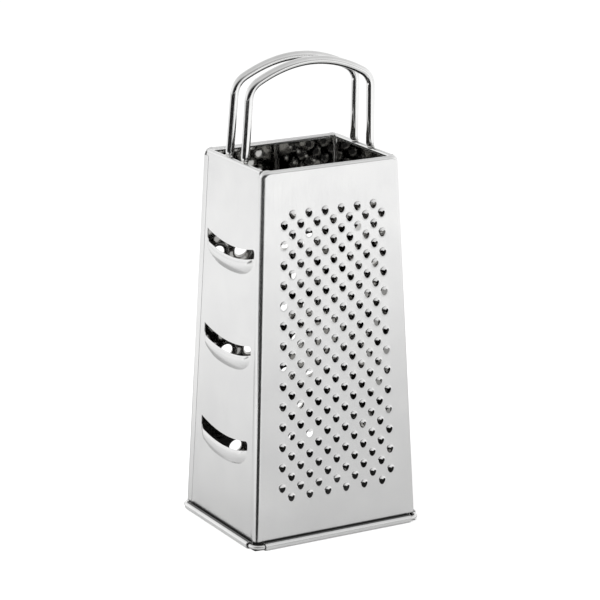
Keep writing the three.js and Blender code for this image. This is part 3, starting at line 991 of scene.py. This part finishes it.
# Pieces
SHEET_METALS = (panel_steel_painted_shade, inner_steel_painted_shade, cut_edge, roll_steel)
front = perforated_panel("front_sheet", WIDE, 0, FINE, FINE_CRATER, FINE_SIDES)
back = perforated_panel("back_sheet", WIDE, math.pi, COARSE, COARSE_CRATER, COARSE_SIDES)
left = slotted_panel("left_sheet", NARROW, -math.pi / 2)
right = perforated_panel("right_sheet", NARROW, math.pi / 2, POINTS, POINT_CRATER, POINT_SIDES)
sheets = {"front_panel": front, "back_panel": back, "left_panel": left, "right_panel": right}
for node, sheet in sheets.items():
    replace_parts(finish_piece(sheet, node, *SHEET_METALS), node)
ring_wire = base_wire("foot_wire")
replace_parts(finish_piece(ring_wire, "base_wire", bright_wire), "base_wire")
dice = random.Random(WELD_SEED)
for side, place in ((-1, "front"), (1, "rear")):
    node = f"handle_wire_{place}"
    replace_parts(finish_piece(handle_wire(f"handle_{place}", side), node, bright_wire), node)
    for side_x, end in ((-1, "left"), (1, "right")):
        finish_piece(weld_bead(f"weld_{place}_{end}", side_x, side, dice), node, weld_metal)


# Studio
def plane(name, corners, material):
    mesh = bpy.data.meshes.new(name)
    mesh.from_pydata(corners, [], [tuple(range(len(corners)))])
    mesh.materials.append(material)
    piece = bpy.data.objects.new(name, mesh)
    bpy.context.scene.collection.objects.link(piece)
    return piece


def floor_material():
    """White paper, lifted to blend into the white background for the camera, and less so in the metal."""
    material, shading, shader = new_material("floor_paper")
    place = shading.add("NewGeometry", {})["Position"]
    parts = shading.parts(place)
    past_side = shading.maths("SUBTRACT", shading.maths("ABSOLUTE", parts["X"]), FOOT_WIDTH / 2 * MM)
    past_front = shading.maths("SUBTRACT", shading.maths("ABSOLUTE", parts["Y"]), FOOT_DEPTH / 2 * MM)
    outside = shading.maths("GREATER_THAN", shading.maths("MAXIMUM", past_side, past_front), 0.0)

    distance = shading.vector_maths("LENGTH", place)
    to_right = shading.maths("GREATER_THAN", parts["X"], 0.0)
    to_left = shading.maths("SUBTRACT", 1.0, to_right)
    glows = []
    for half, (strength, far, curve) in ((to_left, LEFT_GLOW), (to_right, RIGHT_GLOW)):
        share = shading.maths("POWER", shading.span(distance, GLOW_NEAR, far), curve)
        glows.append(shading.maths("MULTIPLY", shading.maths("MULTIPLY", share, strength), half))
    glow = shading.maths("ADD", *glows)
    from_camera, from_metal = shading.ray_kinds()
    in_metal = shading.maths("MULTIPLY", from_metal, glow)
    to_camera = shading.maths("MULTIPLY", from_camera, FLOOR_LIFT)
    lift = shading.maths("MULTIPLY", shading.maths("MAXIMUM", to_camera, in_metal), outside)

    grain = shading.noise((FLOOR_GRAIN, FLOOR_GRAIN, FLOOR_GRAIN), GRAIN_DETAIL)
    mottle = (FLOOR_COLOUR - FLOOR_MOTTLE, FLOOR_COLOUR + FLOOR_MOTTLE)
    paper = shading.span(grain, NOISE_LOW, NOISE_HIGH, *mottle)
    # Painted deep shade: the paper's colour is darkened inside the body
    shade = shading.span(outside, 0.0, 1.0, FLOOR_PAINTED_SHADE_INSIDE, 1.0)
    shading.fill(shader, {
        "Base Color": shading.maths("MULTIPLY", paper, shade),
        "Roughness": FLOOR_ROUGHNESS,
        "Specular IOR Level": 0.0,
        "Emission Color": (1, 1, 1, 1),
        "Emission Strength": lift,
    })
    return material


def card_material(name, level):
    material, shading, shader = new_material(name)
    shading.fill(shader, {"Base Color": (*grey(level), 1), "Roughness": 1.0, "Specular IOR Level": 0.0})
    return material


def reflected_card(name, corners, level):
    card = plane(name, [(x, y, CARD_LIFT) for x, y in corners], card_material(name, level))
    card.visible_camera = False
    card.visible_diffuse = False
    card.visible_shadow = False
    card.visible_transmission = False


floor_corners = [(x * FLOOR_HALF, y * FLOOR_HALF, 0) for x, y in ((-1, -1), (1, -1), (1, 1), (-1, 1))]
plane("floor", floor_corners, floor_material())
# Painted reflections: the dark card stands for the unlit room, the grey card for painted shadow behind the
# body
dark_corners = []
for reach, degrees in DARK_CARD:
    turn = math.radians(degrees) - CAMERA_AZIMUTH
    dark_corners.append(DARK_CARD_START + Vector((math.sin(turn), -math.cos(turn))) * reach)
reflected_card("dark_card", dark_corners, DARK_CARD_LEVEL)
reflected_card("painted_shade_card", [(x * MM, y * MM) for x, y in PAINTED_SHADE_CARD], PAINTED_SHADE_CARD_LEVEL)


def studio_world():
    """White to the camera and soft grey as light. The metal sees a horizon, a ceiling and a dark room."""
    world = bpy.data.worlds.new("studio")
    shading = Shading(world)
    way = shading.add("TexCoord", {})["Generated"]
    height = shading.span(shading.parts(way)["Z"], -1.0, 1.0)
    ceiling = shading.ramp(height, [(place, grey(level)) for place, level in CEILING])
    to_room = (-math.sin(CAMERA_AZIMUTH), -math.cos(CAMERA_AZIMUTH), -ROOM_HEIGHT)
    toward_room = shading.vector_maths("DOT_PRODUCT", way, to_room)
    room = shading.span(toward_room, ROOM_EDGE, ROOM_DARK, shape="SMOOTHSTEP")
    studio = shading.blend(room, ceiling, (*grey(ROOM_LEVEL), 1))
    from_camera, from_metal = shading.ray_kinds()
    light = shading.blend(from_metal, (*grey(WORLD_LIGHT), 1), studio)
    shading.fill(shading.nodes["Background"], {"Color": shading.blend(from_camera, light, (1, 1, 1, 1))})
    return world


bpy.context.scene.world = studio_world()

lamp_data = bpy.data.lights.new("soft_box", "AREA")
lamp_data.shape = "SQUARE"
lamp_data.size = LAMP_SIZE
lamp_data.energy = LAMP_ENERGY
lamp = bpy.data.objects.new("soft_box", lamp_data)
lamp.location = LAMP_PLACE
lamp.visible_glossy = False
lamp.rotation_euler = (LAMP_TARGET - LAMP_PLACE).to_track_quat("-Z", "Y").to_euler()
bpy.context.scene.collection.objects.link(lamp)

# Camera
look = Vector((
    math.sin(CAMERA_AZIMUTH) * math.cos(CAMERA_ELEVATION),
    math.cos(CAMERA_AZIMUTH) * math.cos(CAMERA_ELEVATION),
    -math.sin(CAMERA_ELEVATION),
))
level_right = Vector((math.cos(CAMERA_AZIMUTH), -math.sin(CAMERA_AZIMUTH), 0))
level_up = level_right.cross(look)
view_right = level_right * math.cos(CAMERA_ROLL) + level_up * math.sin(CAMERA_ROLL)
view_up = level_up * math.cos(CAMERA_ROLL) - level_right * math.sin(CAMERA_ROLL)
place = CAMERA_TARGET - look * CAMERA_DISTANCE
camera_data = bpy.data.cameras.new("camera")
camera_data.lens = CAMERA_LENS
camera_data.sensor_width = CAMERA_SENSOR
camera_data.shift_x, camera_data.shift_y = CAMERA_SHIFT
camera = bpy.data.objects.new("camera", camera_data)
camera.matrix_world = Matrix((
    (view_right.x, view_up.x, -look.x, place.x),
    (view_right.y, view_up.y, -look.y, place.y),
    (view_right.z, view_up.z, -look.z, place.z),
    (0, 0, 0, 1),
))
bpy.context.scene.collection.objects.link(camera)
bpy.context.scene.camera = camera
bpy.context.scene.view_settings.view_transform = "Standard"
